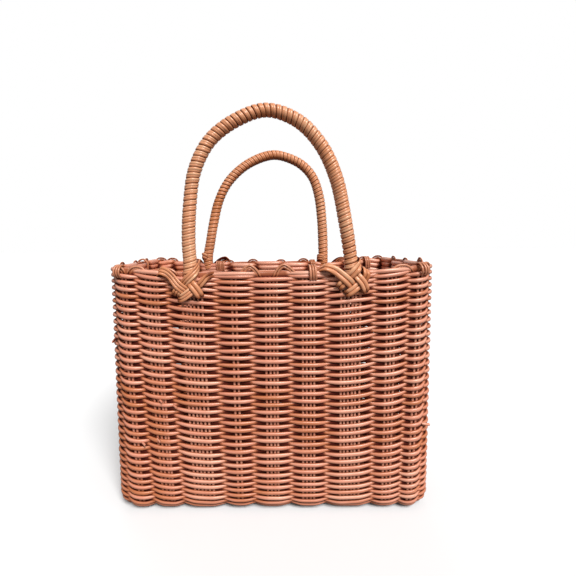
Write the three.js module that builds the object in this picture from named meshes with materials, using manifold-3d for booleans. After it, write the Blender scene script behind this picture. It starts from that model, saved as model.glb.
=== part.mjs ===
import * as THREE from 'three';
import { mergeVertices } from 'three/addons/utils/BufferGeometryUtils.js';
import Module from 'manifold-3d';

// Straw basket bag: a rigid woven cane body, a looped rim and two wrapped arch handles.
// Millimetres, +Z up. The origin lies under the middle of the bag and the front faces -Y.

// Body
const BODY_WIDTH = 277;
const BODY_DEPTH = 130;
const RIM_HEIGHT = 208.5;
const RIM_DIP = 4;
const CORNER_RADIUS = 18;
const FLOOR_BEND_RADIUS = 9;
const SIDE_TAPER = 4;
const FRONT_TAPER = 1.5;

// Weave: canes pass in front of and behind groups of upright stakes
const CANE_DIAMETER = 3.3;
const STAKE_DIAMETER = 2.2;
const CLEARANCE = 0.3;

// Rim loops
const RIM_LOOP_HEIGHT = 5.5;
const RIM_LOW_HEIGHT = 1.4;
const RIM_LOOP_REACH = 8;

// Handles
const HANDLE_SPAN = 134;
const HANDLE_RISE = 123;
const HANDLE_DIAMETER = 11.5;
const HANDLE_LEAN = 6;
const TANG_DIAMETER = 5;
const TANG_DEPTH = 30;

// Knots that tie the handles to the rim
const KNOT_DIAMETER = 25;
const KNOT_THICKNESS = 5;
const KNOT_DROP = 8.5;
const KNOT_STRAP_WIDTH = 5;
const KNOT_STRAP_THICKNESS = 2.2;
const KNOT_INSIDE_REACH = 14;

// Smoothness of the faceted forms
const COLUMN_STEPS = 4;
const BEND_STEPS = 4;
const HANDLE_STEPS = 40;
const HANDLE_SIDES = 12;
const ROUND_STEPS = 16;

// Where the canes cross between two groups of stakes, as shares of the half side, left to right
const LONG_SIDE_CROSSINGS = [-0.83, -0.64, -0.34, -0.12, 0.12, 0.34, 0.63, 0.84];
const SHORT_SIDE_CROSSINGS = [-0.53, 0, 0.53];

// Upright part of the wall, as shares of its height
const WALL_LEVELS = [0.35, 0.7, 1];

// Centreline of each arch, from the left foot to the right foot seen from the front:
// across as a share of half the span, up as a share of the rise
const FRONT_ARCH = [
  { across: -1.0, up: 0 },
  { across: -1.01, up: 0.14 },
  { across: -0.985, up: 0.38 },
  { across: -0.91, up: 0.62 },
  { across: -0.72, up: 0.81 },
  { across: -0.4, up: 0.94 },
  { across: -0.04, up: 1.0 },
  { across: 0.33, up: 0.93 },
  { across: 0.61, up: 0.77 },
  { across: 0.79, up: 0.56 },
  { across: 0.89, up: 0.32 },
  { across: 0.98, up: 0 },
];
const BACK_ARCH = [
  { across: -1.08, up: 0 },
  { across: -1.04, up: 0.13 },
  { across: -0.98, up: 0.32 },
  { across: -0.88, up: 0.54 },
  { across: -0.71, up: 0.72 },
  { across: -0.43, up: 0.87 },
  { across: -0.1, up: 0.96 },
  { across: 0.12, up: 0.98 },
  { across: 0.35, up: 0.95 },
  { across: 0.59, up: 0.88 },
  { across: 0.78, up: 0.76 },
  { across: 0.89, up: 0.58 },
  { across: 0.94, up: 0.33 },
  { across: 0.955, up: 0 },
];

// Domed face of a knot, from its edge to its middle: shares of its radius and thickness
const KNOT_DOME = [
  { out: 1, rise: 0.3 },
  { out: 0.85, rise: 0.66 },
  { out: 0.5, rise: 0.93 },
];

// Sizes worked out from the ones above
const CANE_RADIUS = CANE_DIAMETER / 2;
const CANE_SWING = CANE_RADIUS + STAKE_DIAMETER / 2;
const HALF_WALL = CANE_RADIUS + CANE_SWING;
const CORE_HALF_WIDTH = BODY_WIDTH / 2 - CORNER_RADIUS;
const CORE_HALF_DEPTH = BODY_DEPTH / 2 - CORNER_RADIUS;
const MID_RADIUS = CORNER_RADIUS - HALF_WALL;
const MID_HALF_WIDTH = CORE_HALF_WIDTH + MID_RADIUS;
const MID_HALF_DEPTH = CORE_HALF_DEPTH + MID_RADIUS;
const RIM_TOP = CLEARANCE + RIM_LOOP_HEIGHT;
const LEG_REST = RIM_TOP + CLEARANCE;

const wasm = await Module();
wasm.setup();

// Height of the woven edge, which sinks towards the middle of the long sides
function rimHeight(x) {
  const share = Math.min(1, Math.abs(x) / MID_HALF_WIDTH);
  return RIM_HEIGHT - RIM_DIP * (1 - share ** 2);
}

// A place on the middle line of the wall, by its distance round the bag from the
// front left corner: the point of the inner core and the outward direction
function placeRound(distance) {
  const arc = (Math.PI / 2) * MID_RADIUS;
  const sides = [
    { length: 2 * CORE_HALF_WIDTH, from: [-CORE_HALF_WIDTH, -CORE_HALF_DEPTH], turn: -Math.PI / 2 },
    { length: 2 * CORE_HALF_DEPTH, from: [CORE_HALF_WIDTH, -CORE_HALF_DEPTH], turn: 0 },
    { length: 2 * CORE_HALF_WIDTH, from: [CORE_HALF_WIDTH, CORE_HALF_DEPTH], turn: Math.PI / 2 },
    { length: 2 * CORE_HALF_DEPTH, from: [-CORE_HALF_WIDTH, CORE_HALF_DEPTH], turn: Math.PI },
  ];
  let left = distance;
  for (const side of sides) {
    const [startX, startY] = side.from;
    if (left < arc / 2) {
      const angle = side.turn - Math.PI / 4 + left / MID_RADIUS;
      return { x: startX, y: startY, out: [Math.cos(angle), Math.sin(angle)] };
    }
    left -= arc / 2;
    const along = side.turn + Math.PI / 2;
    const step = Math.min(left, side.length);
    const x = startX + Math.cos(along) * step;
    const y = startY + Math.sin(along) * step;
    if (left <= side.length + arc / 2) {
      const angle = side.turn + Math.max(0, left - side.length) / MID_RADIUS;
      return { x, y, out: [Math.cos(angle), Math.sin(angle)] };
    }
    left -= side.length + arc / 2;
  }
  return placeRound(left);
}

// Distances round the bag of all the crossings, a corner first on each side
function crossingDistances() {
  const arc = (Math.PI / 2) * MID_RADIUS;
  const distances = [];
  let start = 0;
  const sides = [
    [LONG_SIDE_CROSSINGS, CORE_HALF_WIDTH, MID_HALF_WIDTH],
    [SHORT_SIDE_CROSSINGS, CORE_HALF_DEPTH, MID_HALF_DEPTH],
    [LONG_SIDE_CROSSINGS, CORE_HALF_WIDTH, MID_HALF_WIDTH],
    [SHORT_SIDE_CROSSINGS, CORE_HALF_DEPTH, MID_HALF_DEPTH],
  ];
  for (const [shares, coreHalf, midHalf] of sides) {
    distances.push(start);
    for (const share of shares) distances.push(start + arc / 2 + coreHalf + share * midHalf);
    start += arc + 2 * coreHalf;
  }
  distances.push(start);
  return distances;
}

// Stations round the bag: place, how far the canes swing out and the way to the nearest crossing
function stationsRound() {
  const crossings = crossingDistances();
  const stations = [];
  for (let column = 0; column + 1 < crossings.length; column += 1) {
    const width = crossings[column + 1] - crossings[column];
    for (let step = 0; step < COLUMN_STEPS; step += 1) {
      const share = step / COLUMN_STEPS;
      stations.push({
        ...placeRound(crossings[column] + width * share),
        swing: CANE_SWING * Math.sin(Math.PI * share),
        toCrossing: width * Math.min(share, 1 - share),
      });
    }
  }
  return stations;
}

// A point of the wall: inset from the middle line, height and offset along the slope
function wallPoint(station, inset, z, slope, offset) {
  const sink = 1 - z / RIM_HEIGHT;
  const x = station.x * (1 - (SIDE_TAPER * sink) / CORE_HALF_WIDTH);
  const y = station.y * (1 - (FRONT_TAPER * sink) / CORE_HALF_DEPTH);
  const out = MID_RADIUS - inset + offset * Math.cos(slope);
  return [x + station.out[0] * out, y + station.out[1] * out, z + offset * Math.sin(slope)];
}

// Closed surface through rings of points that join end to start both ways
function ringSurface(rings) {
  const count = rings[0].length;
  const indices = [];
  for (let i = 0; i < rings.length; i += 1) {
    const next = (i + 1) % rings.length;
    for (let j = 0; j < count; j += 1) {
      const above = (j + 1) % count;
      indices.push(i * count + j, next * count + j, next * count + above);
      indices.push(i * count + j, next * count + above, i * count + above);
    }
  }
  return surface(rings.flat(2), indices);
}

// Closed surface through open rows of sections, with a fan over each end section
function loftSurface(sections) {
  const count = sections[0].length;
  const indices = [];
  for (let i = 0; i + 1 < sections.length; i += 1) {
    for (let j = 0; j < count; j += 1) {
      const above = (j + 1) % count;
      indices.push(i * count + j, (i + 1) * count + j, (i + 1) * count + above);
      indices.push(i * count + j, (i + 1) * count + above, i * count + above);
    }
  }
  const last = (sections.length - 1) * count;
  for (let j = 1; j + 1 < count; j += 1) {
    indices.push(0, j, j + 1);
    indices.push(last, last + j + 1, last + j);
  }
  return surface(sections.flat(2), indices);
}

function surface(positions, indices) {
  const geometry = new THREE.BufferGeometry();
  geometry.setAttribute('position', new THREE.Float32BufferAttribute(positions, 3));
  geometry.setIndex(indices);
  return geometry;
}

function toSolid(geometry) {
  const bare = geometry.clone();
  bare.deleteAttribute('normal');
  bare.deleteAttribute('uv');
  const merged = mergeVertices(bare, 1e-4);
  return new wasm.Manifold(
    new wasm.Mesh({
      numProp: 3,
      vertProperties: new Float32Array(merged.attributes.position.array),
      triVerts: new Uint32Array(merged.index.array),
    }),
  );
}

function fromSolid(solid) {
  const mesh = solid.getMesh();
  return surface(Array.from(mesh.vertProperties), Array.from(mesh.triVerts));
}

// Feet of an arch: where its legs stand on the rim
function archFeet(arch) {
  return [arch[0], arch[arch.length - 1]].map((foot) => (foot.across * HANDLE_SPAN) / 2);
}

// Round holes that take the tangs of both handles, from a depth below the rim upwards
function tangHoles() {
  const height = TANG_DEPTH + CLEARANCE + LEG_REST;
  const radius = TANG_DIAMETER / 2 + CLEARANCE;
  const holes = [];
  for (const [arch, side] of [[FRONT_ARCH, -1], [BACK_ARCH, 1]]) {
    for (const x of archFeet(arch)) {
      const hole = new THREE.CylinderGeometry(radius, radius, height, ROUND_STEPS);
      hole.rotateX(Math.PI / 2);
      hole.translate(x, side * MID_HALF_DEPTH, rimHeight(x) + LEG_REST - height / 2);
      holes.push(hole);
    }
  }
  return holes;
}

function withTangHoles(geometry) {
  let solid = toSolid(geometry);
  for (const hole of tangHoles()) solid = solid.subtract(toSolid(hole));
  return fromSolid(solid);
}

// The woven wall: a rib over each group of stakes, bent inwards at the foot and open at the top
function wallGeometry() {
  const rings = stationsRound().map((station) => {
    const half = CANE_RADIUS + station.swing;
    const rim = rimHeight(station.x + station.out[0] * MID_RADIUS);
    const line = [];
    for (let step = 0; step <= BEND_STEPS; step += 1) {
      const slope = -(Math.PI / 2) * (1 - step / BEND_STEPS);
      const inset = FLOOR_BEND_RADIUS * (1 - Math.cos(slope));
      line.push([inset, HALF_WALL + FLOOR_BEND_RADIUS * (1 + Math.sin(slope)), slope]);
    }
    const start = HALF_WALL + FLOOR_BEND_RADIUS;
    for (const level of WALL_LEVELS) line.push([0, start + level * (rim - start), 0]);
    const outside = line.map(([inset, z, slope]) => wallPoint(station, inset, z, slope, half));
    const inside = line.map(([inset, z, slope]) => wallPoint(station, inset, z, slope, -half));
    return [...outside, ...inside.reverse()];
  });
  return withTangHoles(ringSurface(rings));
}

// The woven floor: flat underneath, with a rib over each group of stakes on top
function baseGeometry() {
  const sink = 1 - HALF_WALL / RIM_HEIGHT;
  const radius = MID_RADIUS - FLOOR_BEND_RADIUS - CLEARANCE;
  const coreHalfWidth = CORE_HALF_WIDTH - SIDE_TAPER * sink;
  const coreHalfDepth = CORE_HALF_DEPTH - FRONT_TAPER * sink;
  const ends = coreHalfWidth + radius;
  const crossings = [-ends, ...LONG_SIDE_CROSSINGS.map((share) => share * MID_HALF_WIDTH), ends];
  const sections = [];
  for (let column = 0; column + 1 < crossings.length; column += 1) {
    const steps = column + 2 === crossings.length ? COLUMN_STEPS + 1 : COLUMN_STEPS;
    for (let step = 0; step < steps; step += 1) {
      const share = step / COLUMN_STEPS;
      const x = crossings[column] + (crossings[column + 1] - crossings[column]) * share;
      const over = Math.min(radius, Math.max(0, Math.abs(x) - coreHalfWidth));
      const y = coreHalfDepth + Math.sqrt(radius ** 2 - over ** 2);
      const top = HALF_WALL + CANE_RADIUS + CANE_SWING * Math.sin(Math.PI * share);
      sections.push([[x, -y, 0], [x, -y, top], [x, y, top], [x, y, 0]]);
    }
  }
  return loftSurface(sections);
}

// The rim: a low band on the woven edge that loops up over each crossing
function rimGeometry() {
  const rings = stationsRound().map((station) => {
    const rim = rimHeight(station.x + station.out[0] * MID_RADIUS);
    const near = Math.max(0, 1 - (station.toCrossing / RIM_LOOP_REACH) ** 2);
    const foot = rim + CLEARANCE;
    const shoulder = foot + RIM_LOW_HEIGHT / 2;
    const top = foot + RIM_LOW_HEIGHT + (RIM_LOOP_HEIGHT - RIM_LOW_HEIGHT) * near;
    const section = [
      [HALF_WALL, foot],
      [HALF_WALL, shoulder],
      [HALF_WALL / 2, top],
      [-HALF_WALL / 2, top],
      [-HALF_WALL, shoulder],
      [-HALF_WALL, foot],
    ];
    return section.map(([offset, z]) => wallPoint(station, 0, z, 0, offset));
  });
  return withTangHoles(ringSurface(rings));
}

// A handle: a round arch that leans outwards, with a slim tang below each foot
function handleGeometry(arch, side) {
  const feet = archFeet(arch);
  const lean = Math.atan2(HANDLE_LEAN, HANDLE_RISE);
  const baseY = side * MID_HALF_DEPTH;
  const restZ = feet.map((x) => rimHeight(x) + LEG_REST);
  const line = new THREE.CatmullRomCurve3(
    arch.map(({ across, up }, index) => {
      const share = index / (arch.length - 1);
      const rest = restZ[0] + (restZ[1] - restZ[0]) * share;
      const x = (across * HANDLE_SPAN) / 2;
      return new THREE.Vector3(x, baseY + side * HANDLE_LEAN * up, rest + HANDLE_RISE * up);
    }),
    false,
    'centripetal',
  );
  const flat = new THREE.Vector3(0, 1, 0);
  const leaning = new THREE.Vector3(0, Math.cos(lean), -side * Math.sin(lean));
  const ring = (centre, tangent, across, radius) => {
    const outwards = new THREE.Vector3().crossVectors(tangent, across).normalize();
    return Array.from({ length: HANDLE_SIDES }, (_, index) => {
      const angle = (2 * Math.PI * index) / HANDLE_SIDES;
      const point = centre.clone();
      point.addScaledVector(outwards, radius * Math.cos(angle));
      point.addScaledVector(across, radius * Math.sin(angle));
      return point.toArray();
    });
  };
  const up = new THREE.Vector3(0, 0, 1);
  const down = new THREE.Vector3(0, 0, -1);
  const tangRadius = TANG_DIAMETER / 2;
  const legRadius = HANDLE_DIAMETER / 2;
  const foot = (index, depth) => new THREE.Vector3(feet[index], baseY, restZ[index] - depth);
  const tangLength = TANG_DEPTH + LEG_REST;
  const rings = [
    ring(foot(0, tangLength), up, flat, tangRadius),
    ring(foot(0, 0), up, flat, tangRadius),
    ring(foot(0, 0), up, flat, legRadius),
  ];
  for (let step = 1; step < HANDLE_STEPS; step += 1) {
    const share = step / HANDLE_STEPS;
    rings.push(ring(line.getPointAt(share), line.getTangentAt(share), leaning, legRadius));
  }
  rings.push(ring(foot(1, 0), down, flat, legRadius));
  rings.push(ring(foot(1, 0), down, flat, tangRadius));
  rings.push(ring(foot(1, tangLength), down, flat, tangRadius));
  return loftSurface(rings);
}

// A knot, seen from its own front: a domed pad outside the wall and two straps that
// pass over the rim beside the leg; its zero lies on the middle line at the woven edge
function knotGeometry() {
  const back = HALF_WALL + CLEARANCE;
  const radius = KNOT_DIAMETER / 2;
  const profile = [
    new THREE.Vector2(0, back),
    new THREE.Vector2(radius, back),
    ...KNOT_DOME.map(({ out, rise }) => new THREE.Vector2(radius * out, back + KNOT_THICKNESS * rise)),
    new THREE.Vector2(0, back + KNOT_THICKNESS),
  ];
  const pad = new THREE.LatheGeometry(profile, ROUND_STEPS);
  pad.rotateX(Math.PI);
  pad.translate(0, 0, -KNOT_DROP);
  let knot = toSolid(pad);
  const strapX = HANDLE_DIAMETER / 2 + CLEARANCE + KNOT_STRAP_WIDTH / 2;
  for (const x of [-strapX, strapX]) {
    const strap = strapGeometry(back);
    strap.translate(x, 0, 0);
    knot = knot.add(toSolid(strap));
  }
  return fromSolid(knot);
}

// One strap of a knot: a staple over the rim, longer on the inside than on the outside
function strapGeometry(back) {
  const outer = back + KNOT_STRAP_THICKNESS;
  const under = LEG_REST;
  const top = under + KNOT_STRAP_THICKNESS;
  const outline = new THREE.Shape();
  outline.moveTo(-outer, -KNOT_DROP);
  outline.lineTo(-back, -KNOT_DROP);
  outline.lineTo(-back, under);
  outline.lineTo(back, under);
  outline.lineTo(back, -KNOT_INSIDE_REACH);
  outline.lineTo(outer, -KNOT_INSIDE_REACH);
  outline.lineTo(outer, top - KNOT_STRAP_THICKNESS / 2);
  outline.lineTo(outer - KNOT_STRAP_THICKNESS / 2, top);
  outline.lineTo(-outer + KNOT_STRAP_THICKNESS / 2, top);
  outline.lineTo(-outer, top - KNOT_STRAP_THICKNESS / 2);
  outline.closePath();
  const strap = new THREE.ExtrudeGeometry(outline, { depth: KNOT_STRAP_WIDTH, bevelEnabled: false });
  strap.translate(0, 0, -KNOT_STRAP_WIDTH / 2);
  strap.rotateX(Math.PI / 2);
  strap.rotateZ(Math.PI / 2);
  return strap;
}

const canes = new THREE.MeshStandardMaterial({ color: 0xd9936a, roughness: 0.45, metalness: 0 });
const wraps = new THREE.MeshStandardMaterial({ color: 0xd98a58, roughness: 0.42, metalness: 0 });
const knots = new THREE.MeshStandardMaterial({ color: 0xe0a06a, roughness: 0.42, metalness: 0 });

function piece(name, geometry, material) {
  const mesh = new THREE.Mesh(geometry, material);
  mesh.name = name;
  return mesh;
}

const bag = new THREE.Group();
bag.add(piece('woven_wall', wallGeometry(), canes));
bag.add(piece('woven_base', baseGeometry(), canes));
bag.add(piece('rim_border', rimGeometry(), canes));

const handles = [
  { name: 'front', arch: FRONT_ARCH, side: -1, turn: 0 },
  { name: 'back', arch: BACK_ARCH, side: 1, turn: Math.PI },
];
for (const { name, arch, side, turn } of handles) {
  bag.add(piece(`${name}_handle`, handleGeometry(arch, side), wraps));
  archFeet(arch).forEach((x, index) => {
    const knot = piece(`${name}_${index ? 'right' : 'left'}_knot`, knotGeometry(), knots);
    knot.position.set(x, side * MID_HALF_DEPTH, rimHeight(x));
    knot.rotation.z = turn;
    bag.add(knot);
  });
}

export default bag;
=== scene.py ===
"""A straw basket bag: randed cane walls, a looped rim and two arch handles tied on with plaited knots."""

import math

import bpy
import numpy as np
from mathutils import Matrix, Vector


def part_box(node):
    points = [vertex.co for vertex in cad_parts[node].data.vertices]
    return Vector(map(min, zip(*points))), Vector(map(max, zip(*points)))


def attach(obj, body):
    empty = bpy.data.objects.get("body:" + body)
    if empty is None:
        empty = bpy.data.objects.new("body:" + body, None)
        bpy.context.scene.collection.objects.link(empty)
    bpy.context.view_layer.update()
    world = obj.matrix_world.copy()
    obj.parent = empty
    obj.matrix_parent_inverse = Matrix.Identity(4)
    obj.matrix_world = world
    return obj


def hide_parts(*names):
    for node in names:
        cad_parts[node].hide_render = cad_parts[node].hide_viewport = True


bl_info = {
    "name": "Straw Basket Bag",
    "version": (1, 0, 0),
    "blender": (4, 5, 0),
    "location": "3D View > Sidebar > Basket Bag",
    "description": "Weaves a cane basket bag round the sizes of its frame",
    "category": "Add Mesh",
}

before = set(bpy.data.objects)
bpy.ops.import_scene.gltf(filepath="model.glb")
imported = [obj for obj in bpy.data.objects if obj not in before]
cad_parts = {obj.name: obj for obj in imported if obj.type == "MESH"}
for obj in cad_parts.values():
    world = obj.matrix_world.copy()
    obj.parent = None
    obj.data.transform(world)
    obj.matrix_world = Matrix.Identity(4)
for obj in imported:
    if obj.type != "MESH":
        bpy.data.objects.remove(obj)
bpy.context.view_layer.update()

MM = 0.001
QUARTER_TURN = math.pi / 2
FULL_TURN = 2 * math.pi

# Where the canes cross between two groups of stakes, as shares of the half side, left to right
LONG_SIDE_CROSSINGS = (-0.83, -0.64, -0.34, -0.12, 0.12, 0.34, 0.63, 0.84)
SHORT_SIDE_CROSSINGS = (-0.53, 0.0, 0.53)

# At each crossing of a long side, 1 where neighbouring canes have changed places. They twist round
# each other in the three outer columns, so the front one of a pair climbs towards the corner
LONG_SIDE_TWISTS = (0, 1, 0, 1, 1, 1, 1, 0, 1, 0)

# How far each crossing of a long side leans to the right at the foot, in millimetres, beside the
# taper of the body; corner, crossings and corner
LONG_SIDE_LEANS = (6.0, 8.4, 9.0, 5.0, 0.6, 0.0, 0.6, 0.8, -3.8, -5.5)

# Stakes in each group, left to right along the front and along a short side
LONG_SIDE_STAKES = (2, 4, 6, 2, 4, 4, 6, 3, 2)
SHORT_SIDE_STAKES = (3, 4, 4, 3)

# Centrelines of the arches: across as a share of half the span, up as a share of the rise
FRONT_ARCH = (
    (-1.0, 0.0), (-1.01, 0.14), (-0.985, 0.38), (-0.91, 0.62), (-0.72, 0.81), (-0.4, 0.94),
    (-0.04, 1.0), (0.33, 0.93), (0.61, 0.77), (0.79, 0.56), (0.89, 0.32), (0.98, 0.0),
)
BACK_ARCH = (
    (-1.08, 0.0), (-1.04, 0.13), (-0.98, 0.32), (-0.88, 0.54), (-0.71, 0.72), (-0.43, 0.87),
    (-0.1, 0.96), (0.12, 0.98), (0.35, 0.95), (0.59, 0.88), (0.78, 0.76), (0.89, 0.58),
    (0.94, 0.33), (0.955, 0.0),
)

# Bands of the knots in millimetres, seen from outside the bag: how many strands, how wide each
# is, and the way of the band across from the leg, out from the middle of the wall and up from
# the woven edge
KNOT_BANDS = {
    "left": (
        (3, 2.5, (
            (-27, 0.5, -1.5), (-23.5, 3.6, 0.6), (-18.6, 4.8, -1.0), (-14.6, 5.6, -4.2), (-12.0, 6.4, -7.4),
            (-8.6, 7.4, -11.2), (-4.6, 6.6, -14.6), (-1.0, 4.6, -17.4),
        )),
        (3, 2.3, (
            (0.5, -6.8, 3.5), (5.2, -4.2, 4.4), (6.8, 0.4, 3.4), (5.8, 4.4, 0.6), (3.0, 6.9, -2.6),
            (-0.8, 7.0, -6.2), (-4.4, 5.4, -9.8), (-7.6, 5, -13.2), (-10.2, 6, -16.6), (-12, 4, -20.4),
        )),
        (2, 3.6, (
            (-1.8, 4.2, -7.2), (0.2, 5, -8.8), (3.0, 7, -11.2), (6.2, 7.4, -15.0), (8.4, 6.4, -18.8),
            (9.6, 4.2, -21.6),
        )),
        (2, 2.8, (
            (19.5, 0.5, -3.0), (16.5, 3.8, -3.8), (13.6, 5.2, -5.4), (11.4, 5.6, -8.0), (8.8, 5.4, -11.0),
            (6.0, 4.6, -13.6),
        )),
        (3, 2.3, (
            (-9.6, 3.8, -22.2), (-7.0, 5.6, -22.0), (-3.6, 6.8, -20.2), (0.4, 6.8, -17.2), (3.2, 5.2, -14.8),
            (5.4, 4.2, -12.6),
        )),
    ),
    "right": (
        (2, 3.8, (
            (-25, 0.5, 0.6), (-21, 3.8, 2.2), (-16.4, 4.8, 1.0), (-12.4, 5.4, -1.4), (-8.8, 6.6, -4.4),
            (-4.6, 7.4, -8.0), (-1.4, 6.2, -11.2), (0.8, 4.6, -13.6), (2.6, 4, -15.6),
        )),
        (2, 3.5, (
            (0.5, -6.8, 5.4), (5.2, -4.2, 6.8), (6.8, 0.4, 6.2), (6.0, 4.6, 4.2), (3.0, 7.2, 0.8),
            (-0.6, 6.8, -3.2), (-3.6, 5, -6.4), (-6.6, 5.2, -9.6), (-9.6, 5.6, -12.6), (-12, 3.8, -15),
        )),
        (2, 3.4, (
            (0.4, 4.2, -1.4), (2.6, 5, -3.6), (5.2, 7, -6.6), (8.4, 7.2, -10.8), (10.6, 6, -15.4),
            (11.5, 4, -18.6),
        )),
        (2, 3.3, (
            (11.9, -5.1, -13), (11.9, -4.7, -4), (11.9, 0, 0.2), (11.8, 4.6, -2.0), (11.4, 5.2, -5.2),
            (9.4, 4.8, -8.6), (5.6, 5.6, -12.0), (1.2, 6.8, -15.4), (-2.8, 6, -18.4), (-5.8, 3.8, -20.2),
        )),
    ),
}

# The band of each knot that comes round the leg of the handle
LEG_BAND = 1

# Points of a rim loop over a crossing: along as a share of its reach, out in millimetres, up as a
# share of its rise, down in millimetres, and 1 where the inner strand runs under the outer one
LOOP = (
    (-1.25, 0.1, 0.0, 8.5, 0), (-1.0, 0.5, 0.0, 2.5, 1), (-0.5, 0.8, 0.6, 0.0, 1), (0.0, 0.7, 1.0, 0.0, 1),
    (0.5, 0.8, 0.55, 0.0, 1), (1.0, 0.7, 0.0, 3.0, 1), (1.25, 0.1, 0.0, 8.5, 0),
)

# Rim loops in millimetres: wall, across from the middle of that wall, rise, reach to each side
RIM_LOOPS = (
    ("front", -111, 2.2, 8, 8), ("front", -88, 1.2, 8, 10), ("front", -17.8, 5.0, 8, 8.4),
    ("front", 10.2, 5.4, 7.6, 10.5), ("front", 42.5, 3.2, 7, 9), ("front", 107.5, 1.6, 8.5, 8.5),
    ("right", -32, 4.0, 6.5, 6.5), ("right", 0, 1.8, 6, 7), ("right", 32, 2.2, 7, 6),
    ("back", 112, 1.6, 7, 7), ("back", 86, 1.2, 7, 7), ("back", 40.6, 2.5, 7, 7), ("back", 14.2, 1.6, 7, 6),
    ("back", -19.2, 2.4, 7, 7), ("back", -48.3, 1.0, 6, 7), ("back", -86, 1.6, 7, 7),
    ("back", -115, 1.8, 7, 7), ("left", 32, 2.0, 7, 6), ("left", 0, 1.6, 6, 6), ("left", -32, 2.2, 6, 7),
    ("left", -62, 2.0, 7, 6), ("right", -62, 2.2, 7, 6), ("right", 62, 1.8, 6, 7), ("left", 62, 1.8, 7, 7),
)

# A wrap over the rim in millimetres: out from the middle of the wall and up from the edge
RIM_WRAP = (
    (-4.0, -11.0), (-5.2, -6.0), (-5.0, -1.6), (-2.8, 1.4), (0.0, 2.4), (2.8, 1.4), (5.0, -1.6),
    (5.0, -4.6), (3.0, -7.6),
)

# Those wraps: wall, across from the middle of that wall in millimetres, strands and lift
RIM_WRAPS = (
    ("front", -126.0, 3, 0.0), ("front", 33.6, 3, 2.0), ("front", 123.5, 3, 0.0),
    ("back", -58.0, 5, -2.6), ("back", 51.0, 3, -1.6), ("back", 115.0, 3, -0.8), ("left", 18.0, 2, 0.0),
)

# Cut ends of canes that stand out of the weave: wall, across and up in millimetres, and how far
CANE_ENDS = (
    ("left", -59.0, 148.0, 2.6), ("right", -60.0, 75.0, 1.4), ("front", -94.0, 97.7, 1.2),
    ("front", -82.0, 92.8, 1.0), ("front", -97.0, 64.0, 1.2), ("front", -110.0, 61.0, 0.8),
    ("right", 22.0, 120.0, 1.6), ("left", 14.0, 66.0, 1.4), ("back", 88.0, 140.0, 1.6),
    ("back", -86.0, 90.0, 1.6), ("back", 16.0, 52.0, 1.2), ("back", -45.0, 160.0, 1.2),
)

# Points of a cut end: along the wall in millimetres, share of its way out, and height in millimetres
END_ALONG = np.linspace(-3.0, 1.2, 5)
END_OUT = np.linspace(0.2, 1.0, 5)
END_UP = np.linspace(0, -1.0, 5)

# A cane is at its full swing within the first share of the half width of a group of stakes, and it
# takes at least the second share of half a column to get there
FULL_SWING = 0.75
LEAST_SWING_WAY = 0.35

# How much closer the rows lie at the foot and at the rim, and the share of the wall where that fades
FOOT_PACKING, FOOT_FADE = 0.43, 0.19
RIM_PACKING, RIM_FADE = 0.25, 0.11

# Powers by which the dip of the rim fades downwards, the lean of the crossings grows downwards, and
# two canes change places nearer to the outer side of a column
DIP_FADE = 2.2
LEAN_GROWTH = 1.5
TWIST_SHIFT = 2.3

# How a cane lies behind the stakes: how much lower, how much fuller, and how soon it fills out
BACK_DROP = 0.4 * MM
BACK_SWELL = 0.52
BACK_FILL = 3.2

# How much thinner the canes are at the foot, and the share of the wall where that fades
FOOT_THINNING, THINNING_FADE = 0.15, 0.2

# How much painted light a cane keeps where two cross, and what the topmost rows lose of the painted shade
CROSSING_SHOWS = 0.44
TOP_ROWS = 2
TOP_ROW_SHADE = -0.5

# Where the knots draw the rows together: half width, half height, depth under the edge, and how far
KNOT_PULL_WIDTH = 20 * MM
KNOT_PULL_HEIGHT = 15 * MM
KNOT_DEPTH = 10 * MM
KNOT_PULL = 5.5 * MM

# Distance between the points of a ring and of a floor cane
RING_STEP = 2.3 * MM
FLOOR_STEP = 2.4 * MM

# The same for the strands of the rim and the knots, in millimetres like their tables
RIM_STEP = 0.9
KNOT_STEP = 0.8

# Points that a curve is worked out at between two given ones, before it is spaced evenly
SPAN_SAMPLES = 16

# How far a point faces out where it is painted fully lit and where it gets the most painted shade,
# and the painted light that facing up adds
SHOWING_FULLY = 0.6
SHOWING_LEAST = -0.15
LIGHT_FROM_ABOVE = 0.16

# How far apart canes of different tone lie in the noise that makes them stray, and in their fibres
TONE_SPREAD = 37.0
FIBRE_SHIFT = 53.0

# How much a cane's own tone, broad patches and streaks make it paler or redder
TONE_SWING = 0.7
PATCH_SWING = 2.8
STREAK_SWING = 2.0

# The other colours, worked out from the base colour: pale and ruddy stains for the canes' own tone
# and amber for painted half shade in the hollows; and the tint of the dark fibres
PALE_GAIN = 1.25
PALE_LIFT = 0.06
PALEST = 0.95
RUDDY_SHARES = (0.76, 0.64, 0.42)
AMBER_SHARES = (0.62, 0.37, 0.15)
FIBRE_COLOUR = (0.62, 0.36, 0.26, 1)

# Where the arches start over the woven edge, how far out and down their hidden feet go, the step
# between the points of their lines, and how much painted shade darkens the back one
ARCH_START = 6.1 * MM
FOOT_OUT = 0.8 * MM
FOOT_DOWN = 9 * MM
ARCH_STEP = 0.25 * MM
BACK_HANDLE_SHADE = 0.2

# How the wrapping canes stray along the handle, in millimetres: length and height of each wave
SLACK_WAVES = ((5.5, 0.1), (13.0, 0.35), (31.0, 0.5), (2.6, 0.08))

# Points to a turn of the wrapping, how close the two canes of a pair lie, and how far a turn slants
TURN_POINTS = 22
PAIR_CLOSENESS = 0.74
SLANT = 0.55 * MM

# The wrapping canes rise and fall on the rod, thin out at the sides in open stretches, and vary in
# girth: how much of each, and the wave along the handle that it follows
WRAP_RISE, RISE_WAVE = 0.09 * MM, 7.7 * MM
OPEN_LOSS, OPEN_WAVE = 0.26, 19 * MM
GIRTH_SWING, GIRTH_WAVE = 0.03, 3.1 * MM
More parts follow.
